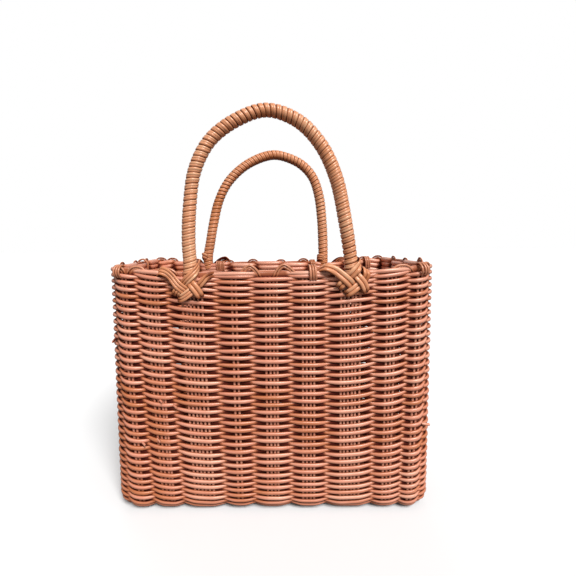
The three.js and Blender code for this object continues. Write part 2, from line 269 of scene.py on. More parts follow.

# Tones of the two canes of a pair, how much painted shade darkens their undersides, and from which
# slope down it starts
PAIR_TONES = (0.3, 0.6)
UNDERSIDE_SHADE, UNDERSIDE = 0.5, -0.15

# How far the rod under the wrapping goes down into the wall, and its girth at its last two points
CORE_DEPTH = 4 * MM
CORE_ENDS = (0.5, 0.62)

# How far out, in millimetres as in its table, a strand of a knot is clear of shade, and over what
# depth under that the shade gathers
SHADE_START = 6.4
SHADE_DEPTH = 3.4

# How bright the floor is where the camera sees it and where its light falls on the bag, and half of
# its side in metres
FLOOR_SEEN = 0.95
FLOOR_BOUNCE = 0.17
HALF_FLOOR = 6.0

# Lights: the way that each one comes from, and its spread in degrees
KEY_LIGHT = ((0.42, -1.0, 1.2), 25)
RIGHT_FILL = ((1.2, -0.6, 0.9), 60)
REAR_FILL = ((-0.4, 1.2, 1.0), 60)

# The camera as it was fitted: place in millimetres, turn in degrees as yaw, pitch and roll, and shift
CAMERA_PLACE = (-5, -341, 231)
CAMERA_TURN = (0.49, 2.0, 0.57)
CAMERA_SHIFT = (0.0451, -0.0642)


def length(name, description, mm):
    return bpy.props.FloatProperty(name=name, description=description, default=mm * MM, unit="LENGTH")


def factor(name, description, default):
    return bpy.props.FloatProperty(name=name, description=description, default=default, subtype="FACTOR")


def level(name, description, default):
    return bpy.props.FloatProperty(name=name, description=description, default=default)


def number(name, description, default):
    return bpy.props.IntProperty(name=name, description=description, default=default)


def colour(name, description, default):
    return bpy.props.FloatVectorProperty(name=name, description=description, default=default, subtype="COLOR")


class BodySettings(bpy.types.PropertyGroup):
    corner_radius: length("Corner radius", "Radius of the upright corners", 18)
    bend_radius: length("Foot bend", "Radius in which the wall bends into the floor", 9)
    side_taper: length("Side taper", "How much each short side draws in at the foot", 4)
    front_taper: length("Front taper", "How much the front and the back draw in at the foot", 1.5)
    rim_dip: length("Rim dip", "How far the rim sinks in the middle of a long side", 4)


class WeaveSettings(bpy.types.PropertyGroup):
    cane_diameter: length("Cane", "Height of a weaving cane", 3.6)
    cane_flatness: factor("Cane flatness", "Thickness of a weaving cane as a share of its height", 0.8)
    bedding: length("Bedding", "How far a cane beds into the stakes it passes", 0.6)
    stake_diameter: length("Stake", "Thickness of an upright stake", 2.3)
    stake_spacing: length("Stake spacing", "Distance between the stakes of a group", 3.15)
    rows: number("Rows", "Rows of cane up the wall", 74)
    floor_rows: number("Floor rows", "Rows of cane across the floor", 34)
    squeeze: factor("Squeeze", "Share of its thickness that a cane keeps where two cross", 0.8)
    wander: length("Wander", "How far a cane strays from its row by hand work", 0.35)
    unevenness: length("Unevenness", "How far a cane lies above or below its row in a column", 0.18)


class RimSettings(bpy.types.PropertyGroup):
    strand: length("Strand", "Thickness of a strand of the border", 2.0)
    flatness: factor("Flatness", "Thickness of a border strand as a share of its width", 0.8)


class HandleSettings(bpy.types.PropertyGroup):
    span: length("Span", "Between the middles of the legs", 134)
    rise: length("Rise", "From the feet to the top of the centreline", 123)
    lean: length("Lean", "How far the top leans outwards", 6)
    diameter: length("Thickness", "Thickness of the wrapped handle", 11.5)
    wrap_width: length("Wrap width", "Width of one turn of the wrapping cane", 2.6)
    wrap_flatness: factor("Wrap flatness", "Thickness of the wrapping cane as a share of its width", 0.44)
    wrap_lead: length("Wrap lead", "Way along the handle of one turn of the paired canes", 4.5)


class KnotSettings(bpy.types.PropertyGroup):
    strand_width: length("Strand", "Width of the broadest strand of a knot", 3.8)
    flatness: factor("Flatness", "Thickness of a strand as a share of its width", 0.6)


class FinishSettings(bpy.types.PropertyGroup):
    cane: colour("Cane", "Colour of the weaving cane", (0.84, 0.345, 0.226))
    wrap: colour("Wrap", "Colour of the handles' wrapping cane", (0.92, 0.415, 0.22))
    border: colour("Border", "Colour of the looped border", (0.62, 0.25, 0.13))
    knot: colour("Knot", "Colour of the knots", (0.88, 0.39, 0.205))
    # The deepest colour of the painted shade in the hollows of the weave
    painted_shade: colour("Painted shade", "Colour of the stain where it gathers in hollows", (0.085, 0.004, 0.001))


class StageSettings(bpy.types.PropertyGroup):
    key_strength: level("Key light", "Strength of the broad soft light from above the front", 3.22)
    fill_strength: level("Fill light", "Strength of the weaker lights from the other sides", 0.4)
    surround: level("Surround", "Strength of the even white surround on the bag", 0.24)
    focal_length: level("Focal length", "Focal length of the camera in millimetres", 21.19)


class BasketBagSettings(bpy.types.PropertyGroup):
    body: bpy.props.PointerProperty(type=BodySettings)
    weave: bpy.props.PointerProperty(type=WeaveSettings)
    rim: bpy.props.PointerProperty(type=RimSettings)
    handle: bpy.props.PointerProperty(type=HandleSettings)
    knot: bpy.props.PointerProperty(type=KnotSettings)
    finish: bpy.props.PointerProperty(type=FinishSettings)
    stage: bpy.props.PointerProperty(type=StageSettings)


class BodyForm:
    """The middle surface of the wall, which the canes swing about, with its crossings and columns."""

    def __init__(self, settings):
        body, weave = settings.body, settings.weave
        low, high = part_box("woven_wall")
        cane_depth = weave.cane_flatness * weave.cane_diameter / 2
        self.swing = cane_depth + weave.stake_diameter / 2 - weave.bedding
        self.half_wall = cane_depth + self.swing
        self.core = np.array([(high.x - low.x) / 2, (high.y - low.y) / 2]) - body.corner_radius
        self.mid_radius = body.corner_radius - self.half_wall
        self.mid = self.core + self.mid_radius
        self.bend_radius = body.bend_radius
        self.bend_length = QUARTER_TURN * body.bend_radius
        self.upright_start = self.half_wall + body.bend_radius
        self.taper = np.array([body.side_taper, body.front_taper])
        self.rim_height = high.z
        self.rim_dip = body.rim_dip
        self.full_length = self.bend_length + self.rim_height - weave.cane_diameter / 2 - self.upright_start
        self.arc = QUARTER_TURN * self.mid_radius
        self.side_lengths = [2 * self.core[0], 2 * self.core[1]] * 2
        self.perimeter = 4 * self.arc + sum(self.side_lengths)
        self.columns = self._columns(weave.stake_spacing)

    def side_start(self, side):
        """Distance round the bag of the first corner of a side: front, right, back, left."""
        return sum(self.side_lengths[:side]) + side * self.arc

    def _columns(self, spacing):
        """The groups of stakes round the bag, each with the crossings on its two sides."""
        crossings, leans, stakes, twists = [], [], [], []
        for side in range(4):
            long_side = side % 2 == 0
            shares = LONG_SIDE_CROSSINGS if long_side else SHORT_SIDE_CROSSINGS
            counts = LONG_SIDE_STAKES if long_side else SHORT_SIDE_STAKES
            states = LONG_SIDE_TWISTS if long_side else (0,) * (len(counts) + 1)
            start = self.side_start(side)
            middle = start + self.arc / 2 + self.side_lengths[side] / 2
            crossings += [start] + [middle + share * self.mid[side % 2] for share in shares]
            if long_side:
                lean = LONG_SIDE_LEANS if side == 0 else tuple(-x for x in LONG_SIDE_LEANS[::-1])
                leans += lean[:-1]
            else:
                leans += (lean[-1],) + (0.0,) * len(shares)
            stakes += counts if side < 2 else counts[::-1]
            twists += zip(states, states[1:], [side == 2] * len(counts))
        half_round = len(LONG_SIDE_STAKES) + len(SHORT_SIDE_STAKES)
        ends, end_leans = crossings[1:] + [self.perimeter], leans[1:] + leans[:1]
        columns = []
        for start, end, first, last, count, twist in zip(crossings, ends, leans, end_leans, stakes, twists):
            half = (end - start) / 2
            group = (count - 1) / 2 * spacing
            columns.append({
                "start": start, "end": end, "stakes": count, "twist": twist,
                "reach": max(half - FULL_SWING * group, LEAST_SWING_WAY * half),
                "outer_first": len(columns) % half_round < len(LONG_SIDE_STAKES) // 2,
                "leans": (first * MM, last * MM),
            })
        return columns

    def place(self, distance):
        """Core points and outward directions at distances round the bag."""
        distance = np.mod(np.asarray(distance, float), self.perimeter)
        core, angle = np.zeros((len(distance), 2)), np.zeros(len(distance))
        corners = np.array([(-1, -1), (1, -1), (1, 1), (-1, 1)]) * self.core
        for side in range(4):
            left = distance - self.side_start(side)
            inside = (left >= -1e-12) & (left <= self.arc + self.side_lengths[side] + 1e-12)
            turn = side * QUARTER_TURN - QUARTER_TURN
            along = np.clip(left - self.arc / 2, 0, self.side_lengths[side])
            heading = np.array([math.cos(turn + QUARTER_TURN), math.sin(turn + QUARTER_TURN)])
            before = np.minimum(0, left - self.arc / 2)
            after = np.maximum(0, left - self.arc / 2 - self.side_lengths[side])
            core[inside] = (corners[side] + along[:, None] * heading)[inside]
            angle[inside] = (turn + (before + after) / self.mid_radius)[inside]
        return core, np.stack([np.cos(angle), np.sin(angle)], 1)

    def rim_at(self, x):
        share = np.minimum(1, np.abs(x) / self.mid[0])
        return self.rim_height - self.rim_dip * (1 - share**2)

    def edge_at(self, distance):
        """Height of the woven edge at distances round the bag."""
        core, out = self.place(distance)
        return self.rim_at(core[:, 0] + out[:, 0] * self.mid_radius)

    def climb(self, distance, share):
        """Length up the wall of a share of its rows, following the dip of the rim."""
        dip = self.rim_height - self.edge_at(distance)
        return self.full_length * share - dip * share**DIP_FADE

    def point(self, distance, climb, offset):
        """Points and outward normals at distances round, lengths up and offsets from the middle."""
        core, out = self.place(distance)
        climb = np.broadcast_to(climb, (len(core),))
        slope = np.minimum(0, climb / self.bend_radius - QUARTER_TURN)
        inset = self.bend_radius * (1 - np.cos(slope))
        height = self.half_wall + self.bend_radius * (1 + np.sin(slope))
        height = height + np.maximum(0, climb - self.bend_length)
        taper = self.taper * (1 - height / self.rim_height)[:, None]
        reach = self.mid_radius - inset + offset * np.cos(slope)
        flat = core * (1 - taper / self.core) + out * reach[:, None]
        points = np.column_stack([flat, height + offset * np.sin(slope)])
        normals = np.column_stack([out * np.cos(slope)[:, None], np.sin(slope)])
        return points, normals

    def at_rim(self, distance, out_by, above):
        """Points near the rim: distances round, offsets outwards and heights above the woven edge."""
        core, out = self.place(distance)
        flat = core + out * (self.mid_radius + np.asarray(out_by))[:, None]
        return np.column_stack([flat, self.edge_at(distance) + above])

    def distance_at(self, wall, across):
        """Distance round the bag of a place across a wall, measured from the middle of that wall."""
        side = ("front", "right", "back", "left").index(wall)
        sign = 1 if side < 2 else -1
        return self.side_start(side) + self.arc / 2 + self.side_lengths[side] / 2 + sign * across


def smooth_through(points, step):
    """Even points on a centripetal curve through the given ones."""
    points = np.asarray(points, float)
    padded = np.vstack([2 * points[0] - points[1], points, 2 * points[-1] - points[-2]])
    curve = []
    for near in zip(padded, padded[1:], padded[2:], padded[3:]):
        t = np.cumsum([0] + [max(np.linalg.norm(q - p), 1e-9) ** 0.5 for p, q in zip(near, near[1:])])
        s = np.linspace(t[1], t[2], SPAN_SAMPLES, endpoint=False)[:, None]
        for reach in (1, 2):
            near = [
                ((t[i + reach] - s) * p + (s - t[i]) * q) / (t[i + reach] - t[i])
                for i, (p, q) in enumerate(zip(near, near[1:]))
            ]
        curve.append(((t[2] - s) * near[0] + (s - t[1]) * near[1]) / (t[2] - t[1]))
    curve = np.vstack(curve + [points[-1:]])
    length = lengths_along(curve)
    count = max(2, int(round(length[-1] / step)) + 1)
    even = np.linspace(0, length[-1], count)
    return np.column_stack([np.interp(even, length, curve[:, axis]) for axis in range(curve.shape[1])])


def lengths_along(points):
    return np.concatenate([[0], np.cumsum(np.linalg.norm(np.diff(points, axis=0), axis=1))])


def unit(vectors):
    return vectors / np.maximum(np.linalg.norm(vectors, axis=-1, keepdims=True), 1e-12)


def tangents(points):
    return unit(np.gradient(points, axis=0))


def route(points, outward, tone, swing=0.0, girth=1.0, shade=0.0, closed=False):
    """One cane: its points, the direction away from the wall, and what the finish needs along it, painted
    shade too.
    """
    points = np.asarray(points, float)
    values = {"tone": tone, "swing": swing, "girth": girth, "shade": shade, "run": lengths_along(points)}
    spread = {key: np.broadcast_to(value, len(points)) for key, value in values.items()}
    return {"points": points, "outward": np.broadcast_to(outward, points.shape), "closed": closed, **spread}


def new_object(name, data):
    made = bpy.data.objects.new(name, data)
    bpy.context.scene.collection.objects.link(made)
    return made


def route_mesh(name, routes):
    """A mesh of bare lines, one for each cane, that carries the values of its points."""
    edges, start = [], 0
    for r in routes:
        count = len(r["points"])
        edges += [(start + i, start + i + 1) for i in range(count - 1)]
        if r["closed"]:
            edges.append((start + count - 1, start))
        start += count
    mesh = bpy.data.meshes.new(name)
    mesh.from_pydata(np.vstack([r["points"] for r in routes]).tolist(), edges, [])
    for key in ("swing", "girth", "shade", "tone", "run"):
        values = mesh.attributes.new(key, "FLOAT", "POINT")
        values.data.foreach_set("value", np.concatenate([r[key] for r in routes]).astype(np.float32))
    outward = mesh.attributes.new("outward", "FLOAT_VECTOR", "POINT")
    outward.data.foreach_set("vector", np.vstack([r["outward"] for r in routes]).astype(np.float32).ravel())
    return mesh


class Tree:
    """Short ways to add and join the nodes of a tree."""

    def __init__(self, tree):
        self.tree = tree

    def add(self, kind, inputs=None, **values):
        node = self.tree.nodes.new(kind)
        for key, value in values.items():
            setattr(node, key, value)
        for key, value in (inputs or {}).items():
            self.feed(node.inputs[key], value)
        return node

    def feed(self, socket, value):
        if isinstance(value, bpy.types.Node):
            value = next(output for output in value.outputs if output.enabled)
        if isinstance(value, bpy.types.NodeSocket):
            self.tree.links.new(value, socket)
        else:
            socket.default_value = value

    def math(self, operation, first, second=0.0, clamp=False):
        return self.add("ShaderNodeMath", {0: first, 1: second}, operation=operation, use_clamp=clamp)

    def vector(self, operation, inputs):
        return self.add("ShaderNodeVectorMath", inputs, operation=operation)

    def remap(self, value, start, end, low, high):
        """A value between start and end as one from low to high, held at both ends."""
        sizes = {"From Min": start, "From Max": end, "To Min": low, "To Max": high}
        return self.add("ShaderNodeMapRange", {"Value": value, **sizes})

    def mix(self, share, first, second, blend_type="MIX"):
        """The second colour over the first one, by a share."""
        colours = {0: share, 6: first, 7: second}
        return self.add("ShaderNodeMix", colours, data_type="RGBA", blend_type=blend_type).outputs[2]

    def named(self, name, data_type="FLOAT"):
        return self.add("GeometryNodeInputNamedAttribute", {"Name": name}, data_type=data_type)

    def stored(self, geometry, name, data_type, value):
        """The geometry with a value kept on its points."""
        node = self.add(
            "GeometryNodeStoreNamedAttribute", {"Geometry": geometry, "Name": name},
            data_type=data_type, domain="POINT",
        )
        self.feed(node.inputs["Value"], value)
        return node


def cleared(owner):
    """The emptied node tree of a material or the world."""
    owner.use_nodes = True
    owner.node_tree.nodes.clear()
    return Tree(owner.node_tree)


def new_group(name, kind, inputs, outputs):
    """A new node group with its sockets: the short ways to fill it, and what it is given."""
    tree = bpy.data.node_groups.new(name, kind)
    for direction, sockets in (("INPUT", inputs), ("OUTPUT", outputs)):
        for socket_name, socket_kind, default in sockets:
            socket = tree.interface.new_socket(
                name=socket_name, in_out=direction, socket_type="NodeSocket" + socket_kind
            )
            if default is not None:
                socket.default_value = default
    t = Tree(tree)
    return t, t.add("NodeGroupInput").outputs


def swept_cane_tree():
    """Geometry Nodes that sweep a round or flattened cane along every line of a mesh and paint shade on it.
    """
    name = "Swept Cane"
    if name in bpy.data.node_groups:
        return bpy.data.node_groups[name]
    t, given = new_group(
        name, "GeometryNodeTree",
        [
            ("Geometry", "Geometry", None), ("Cane width", "Float", 3.3 * MM), ("Flatness", "Float", 1.0),
            ("Sides", "Int", 8), ("Wander", "Float", 0.0), ("Wander detail", "Float", 60.0),
            ("Sinking", "Float", 0.0), ("Finish", "Material", None),
        ],
        [("Geometry", "Geometry", None)],
    )
    lines = t.add("GeometryNodeMeshToCurve", {"Mesh": given["Geometry"]})
    noise = t.add(
        "ShaderNodeTexNoise",
        {"Vector": t.add("GeometryNodeInputPosition"), "Scale": given["Wander detail"], "Detail": 1.0},
        noise_dimensions="4D",
    )
    t.feed(noise.inputs["W"], t.math("ADD", t.math("MULTIPLY", t.named("tone"), TONE_SPREAD), 1.0))
    centred = t.vector("SUBTRACT", {0: noise.outputs["Color"], 1: (0.5, 0.5, 0.5)})
    stray = t.vector("SCALE", {0: centred, "Scale": given["Wander"]})
    strayed = t.add("GeometryNodeSetPosition", {"Geometry": lines, "Offset": stray})

    outward = t.named("outward", "FLOAT_VECTOR").outputs["Attribute"]
    turned = t.add("GeometryNodeSetCurveNormal", {"Curve": strayed}, mode="FREE")
    t.feed(next(s for s in turned.inputs if s.name == "Normal"), outward)

    radius = t.math("MULTIPLY", given["Cane width"], 0.5)
    circle = t.add("GeometryNodeCurvePrimitiveCircle", {"Resolution": given["Sides"], "Radius": radius})
    bearing = t.vector("NORMALIZE", {0: t.add("GeometryNodeInputPosition")})
    marked = t.stored(circle, "round", "FLOAT_VECTOR", bearing)
    scale = t.add("ShaderNodeCombineXYZ", {"X": given["Flatness"], "Y": 1.0, "Z": 1.0})
    profile = t.add("GeometryNodeTransform", {"Geometry": marked, "Scale": scale})
    swept = t.add(
        "GeometryNodeCurveToMesh",
        {"Curve": turned, "Profile Curve": profile, "Scale": t.named("girth"), "Fill Caps": True},
    )

    # Painted shade: a point facing away from where its cane swings, or facing down, is painted darker
    normal = t.add("GeometryNodeInputNormal").outputs["Normal"]
    facing = t.vector("DOT_PRODUCT", {0: normal, 1: outward}).outputs["Value"]
    upward = t.add("ShaderNodeSeparateXYZ", {0: normal}).outputs["Z"]
    showing = t.math("MULTIPLY", facing, t.named("swing"))
    showing = t.math("ADD", showing, t.math("MULTIPLY", upward, LIGHT_FROM_ABOVE))
    shade_mask = t.remap(showing, SHOWING_FULLY, SHOWING_LEAST, 0.0, given["Sinking"])
    shaded = t.stored(swept, "painted_shade", "FLOAT", t.math("ADD", shade_mask, t.named("shade"), clamp=True))

    smooth = t.add("GeometryNodeSetShadeSmooth", {"Geometry": shaded})
    real = t.add("GeometryNodeRealizeInstances", {"Geometry": smooth})
    finished = t.add("GeometryNodeSetMaterial", {"Geometry": real, "Material": given["Finish"]})
    t.add("NodeGroupOutput", {"Geometry": finished})
    return t.tree


def set_input(modifier, name, value):
    """Sets a modifier's input by the identifier of the socket with that name."""
    for item in modifier.node_group.interface.items_tree:
        if item.item_type == "SOCKET" and item.in_out == "INPUT" and item.name == name:
            modifier[item.identifier] = value
            return
    raise KeyError(name)


def swept_piece(name, routes, finish, slot, replaces=(), **inputs):
    """A piece of swept canes as a plain mesh that rides on the bag."""
    piece = new_object(name, route_mesh(name, routes))
    modifier = piece.modifiers.new("Swept Cane", "NODES")
    modifier.node_group = swept_cane_tree()
    set_input(modifier, "Finish", finish)
    for key, value in inputs.items():
        set_input(modifier, key.replace("_", " ").capitalize(), value)
    graph = bpy.context.evaluated_depsgraph_get()
    made = bpy.data.meshes.new_from_object(
        piece.evaluated_get(graph), preserve_all_data_layers=True, depsgraph=graph
    )
    made.name = name
    piece.modifiers.remove(modifier)
    piece.data = made
    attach(piece, "root")
    if replaces:
        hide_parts(*replaces)


def cane_grain_group():
    """Shader group: fine fibres that run along a cane, as masks and a height."""
    name = "Cane Grain"
    if name in bpy.data.node_groups:
        return bpy.data.node_groups[name]
    t, given = new_group(
        name, "ShaderNodeTree",
        [
            ("Round", "Vector", None), ("Run", "Float", 0.0), ("Tone", "Float", 0.0),
            ("Fibres", "Float", 2.6), ("Stretch", "Float", 45.0),
        ],
        [("Fibre", "Float", None), ("Streak", "Float", None), ("Height", "Float", None)],
    )
    along = t.math("MULTIPLY", given["Run"], given["Stretch"])
    shift = t.math("MULTIPLY", given["Tone"], FIBRE_SHIFT)
    bearing = t.add("ShaderNodeSeparateXYZ", {0: given["Round"]}).outputs
    place = t.add(
        "ShaderNodeCombineXYZ",
        {
            "X": t.math("MULTIPLY", bearing["X"], given["Fibres"]),
            "Y": t.math("MULTIPLY", bearing["Y"], given["Fibres"]),
            "Z": t.math("ADD", along, shift),
        },
    )
    fine = t.add("ShaderNodeTexNoise", {"Vector": place, "Scale": 2.2, "Detail": 3.0, "Roughness": 0.62})
    broad = t.add("ShaderNodeTexNoise", {"Vector": place, "Scale": 0.9, "Detail": 2.0})
    fibre, streak = fine.outputs["Fac"], broad.outputs["Fac"]
    height = t.math("ADD", t.math("MULTIPLY", fibre, 0.8), t.math("MULTIPLY", streak, 0.5))
    t.add("NodeGroupOutput", {"Fibre": fibre, "Streak": streak, "Height": height})
    return t.tree


def stain_and_shade_group():
    """Shader group: a cane's stain, which varies by cane and fades along fibres, with painted shade in
    hollows.
    """
    name = "Cane Stain And Shade"
    if name in bpy.data.node_groups:
        return bpy.data.node_groups[name]
    t, given = new_group(
        name, "ShaderNodeTree",
        [(colour_name, "Color", None) for colour_name in ("Base", "Pale", "Ruddy", "Amber", "Deep")]
        + [
            ("Fibre", "Float", 0.5), ("Streak", "Float", 0.5), ("Tone", "Float", 0.5),
            ("Painted shade", "Float", 0.0), ("Patch", "Vector", None),
        ],
        [("Color", "Color", None), ("Roughness", "Float", None), ("Coat", "Float", None)],
    )
    patch = t.add("ShaderNodeTexNoise", {"Vector": given["Patch"], "Scale": 26.0, "Detail": 3.0})
    paleness = t.remap(given["Tone"], 0.0, 1.0, -TONE_SWING, TONE_SWING)
    for mask, amount in ((patch.outputs["Fac"], PATCH_SWING), (given["Streak"], STREAK_SWING)):
        paleness = t.math("ADD", paleness, t.math("MULTIPLY", t.math("SUBTRACT", mask, 0.5), amount))
    stain_and_shade = t.mix(t.math("MULTIPLY", paleness, 1.0, clamp=True), given["Base"], given["Pale"])
    stain_and_shade = t.mix(t.math("MULTIPLY", paleness, -1.0, clamp=True), stain_and_shade, given["Ruddy"])
    stain_and_shade = t.mix(t.remap(given["Fibre"], 0.3, 0.62, 0.42, 0.0), stain_and_shade, FIBRE_COLOUR, "MULTIPLY")
    # Painted shade: amber, then the deep colour, laid over the stain where the mask is high; coat goes too
    stain_and_shade = t.mix(t.remap(given["Painted shade"], 0.0, 0.5, 0.0, 0.8), stain_and_shade, given["Amber"])
    stain_and_shade = t.mix(t.remap(given["Painted shade"], 0.28, 0.84, 0.0, 0.99), stain_and_shade, given["Deep"])
    rough = t.remap(given["Fibre"], 0.3, 0.7, 0.44, 0.28)
    rough = t.math("ADD", rough, t.math("MULTIPLY", given["Painted shade"], 0.5), clamp=True)
    clear = t.math("SUBTRACT", 1.0, given["Painted shade"], clamp=True)
    t.add("NodeGroupOutput", {"Color": stain_and_shade, "Roughness": rough, "Coat": t.math("MULTIPLY", clear, 0.5)})
    return t.tree


def cane_material(name, base, painted_shade, fibres=2.6):
    """Satin stained cane with fibres along it and painted shade in hollows, read from the strands' own
    attributes.
    """
    if name in bpy.data.materials:
        return bpy.data.materials[name]
    material = bpy.data.materials.new(name)
    t = cleared(material)
    around = t.add("ShaderNodeAttribute", attribute_name="round").outputs["Vector"]
    run, tone, shade_mask = (
        t.add("ShaderNodeAttribute", attribute_name=key).outputs["Fac"] for key in ("run", "tone", "painted_shade")
    )
    grain = t.add("ShaderNodeGroup", node_tree=cane_grain_group())
    for key, value in {"Round": around, "Run": run, "Tone": tone, "Fibres": fibres}.items():
        t.feed(grain.inputs[key], value)
    stain_and_shade_colours = {
        "Base": base,
        "Pale": [min(PALEST, channel * PALE_GAIN + PALE_LIFT) for channel in base],
        "Ruddy": [channel * share for channel, share in zip(base, RUDDY_SHARES)],
        "Amber": [channel * share for channel, share in zip(base, AMBER_SHARES)],
        "Deep": painted_shade,
    }
    stain_and_shade = t.add("ShaderNodeGroup", node_tree=stain_and_shade_group())
    for key, value in stain_and_shade_colours.items():
        t.feed(stain_and_shade.inputs[key], (*value, 1))
    masks = {
        "Fibre": grain.outputs["Fibre"], "Streak": grain.outputs["Streak"], "Tone": tone, "Painted shade": shade_mask,
        "Patch": t.add("ShaderNodeTexCoord").outputs["Object"],
    }
    for key, value in masks.items():
        t.feed(stain_and_shade.inputs[key], value)
    height = grain.outputs["Height"]
    relief = t.add("ShaderNodeBump", {"Strength": 0.18, "Distance": 0.2 * MM, "Height": height})
    shader = t.add(
        "ShaderNodeBsdfPrincipled",
        {
            "Base Color": stain_and_shade.outputs["Color"], "Roughness": stain_and_shade.outputs["Roughness"],
            "Coat Weight": stain_and_shade.outputs["Coat"], "Normal": relief, "Specular IOR Level": 0.5,
            "Specular Tint": (1, 0.76, 0.6, 1), "Coat Roughness": 0.26,
        },
    )
    t.add("ShaderNodeOutputMaterial", {"Surface": shader})
    return material


def finishes(settings):
    """The bag's materials, by the part of the bag that they finish."""
    f = settings.finish
    return {
        "weave": cane_material("weaving_cane", f.cane, f.painted_shade),
        "stakes": cane_material("stake_cane", f.cane, f.painted_shade),
        "wrap": cane_material("wrapping_cane", f.wrap, f.painted_shade, fibres=1.6),
        "border": cane_material("border_cane", f.border, f.painted_shade, fibres=1.8),
        "knot": cane_material("knotted_cane", f.knot, f.painted_shade, fibres=1.8),
    }


def row_shares(rows):
    """Heights of the rows as shares of the wall: packed closer at the foot and the rim."""
    middle = (np.arange(rows) + 0.5) / rows
    at_foot, at_rim = np.exp(-((middle / FOOT_FADE) ** 2)), np.exp(-(1 - middle) / RIM_FADE)
    gap = 1 - FOOT_PACKING * at_foot - RIM_PACKING * at_rim
    climbed = np.cumsum(gap) - gap / 2
    return climbed / climbed[-1]


def twisted_share(shares, row, column, k, shown):
    """Heights of one row across a column, where it may change places with its neighbour."""
    start, end, behind = column["twist"]
    step = 1 if (row % 2 == 1) != behind else -1
    partner = min(max(row + step, 0), len(shares) - 1)
    if start == end or not shown:
        eased = k * k * (3 - 2 * k)
    elif column["outer_first"]:
        eased = 1 - (1 - k) ** TWIST_SHIFT
    else:
        eased = k**TWIST_SHIFT
    state = start + (end - start) * eased
    return shares[row] + state * (shares[partner] - shares[row])


def draw_to_knots(points, form, span):
    """Rows draw together where the knots squeeze them."""
    for side in (-1, 1):
        for leg in (-1, 1):
            across = (points[:, 0] - leg * span / 2) / KNOT_PULL_WIDTH
            up = (points[:, 2] - (form.rim_at(leg * span / 2) - KNOT_DEPTH)) / KNOT_PULL_HEIGHT
            near = np.exp(-(across**2) - up**2) * (points[:, 1] * side > 0)
            points[:, 2] -= KNOT_PULL * up * near
    return points


def weaver(form, weave, row, shares, random, span):
    """One ring of cane that swings out and in over the groups of stakes."""
    distance, lift, sign, share = [], [], [], []
    leaning = (1 - shares[row]) ** LEAN_GROWTH
    for index, column in enumerate(form.columns):
        width = column["end"] - column["start"]
        count = max(6, int(round(width / RING_STEP)))
        k = np.arange(count) / count
        near = np.minimum(k, 1 - k) * width / column["reach"]
        side = 1 if (index + row) % 2 == 0 else -1
        first, last = column["leans"]
        distance.append(column["start"] + width * k + leaning * (first + (last - first) * k))
        lift.append(np.sin(QUARTER_TURN * np.minimum(1, near)))
        sign.append(np.full(count, side * random.uniform(0.93, 1.05)))
        share.append(twisted_share(shares, row, column, k, side > 0))
    distance, lift, sign, share = (np.concatenate(part) for part in (distance, lift, sign, share))
    behind = sign < 0
    starts = [column["start"] for column in form.columns]
    uneven = random.normal(0, weave.unevenness, len(starts))
    climb = form.climb(distance, share) + np.interp(distance, starts, uneven, period=form.perimeter)
    climb = climb - np.where(behind, BACK_DROP * lift, 0.0)
    points, normals = form.point(distance, climb, form.swing * sign * lift)
    points = draw_to_knots(points, form, span)
    girth = (weave.squeeze + (1 - weave.squeeze) * lift) * random.uniform(0.96, 1.05)
    girth = girth * np.where(behind, 1 + BACK_SWELL * np.minimum(1, BACK_FILL * lift), 1.0)
    girth = girth * (1 - FOOT_THINNING * math.exp(-((shares[row] / THINNING_FADE) ** 2)))
    # Painted light and shade: full where the cane swings out or in, part where two cross; less at the top
    shown = np.clip(sign, -1, 1) * lift + CROSSING_SHOWS * (1 - lift)
    shade = TOP_ROW_SHADE if row >= weave.rows - TOP_ROWS else 0.0
    return route(points, normals, random.uniform(0, 1), swing=shown, girth=girth, shade=shade, closed=True)


class BASKET_BAG_OT_weave_wall(bpy.types.Operator):
    """Weave the rings of cane that make the wall"""

    bl_idname = "basket_bag.weave_wall"
    bl_label = "Weave Wall"

    def execute(self, context):
        settings = context.scene.basket_bag
        form, weave = BodyForm(settings), settings.weave
        random = np.random.default_rng(11)
        shares = row_shares(weave.rows)
        rings = [weaver(form, weave, row, shares, random, settings.handle.span) for row in range(weave.rows)]
        third = len(rings) // 3
        parts = {"lower": rings[:third], "middle": rings[third : 2 * third], "upper": rings[2 * third :]}
        for name, routes in parts.items():
            swept_piece(
                f"wall_weave_{name}", routes, finishes(settings)["weave"], "cane_weave", ["woven_wall"],
                cane_width=weave.cane_diameter, flatness=weave.cane_flatness,
                wander=weave.wander, sinking=1.0,
            )
        return {"FINISHED"}


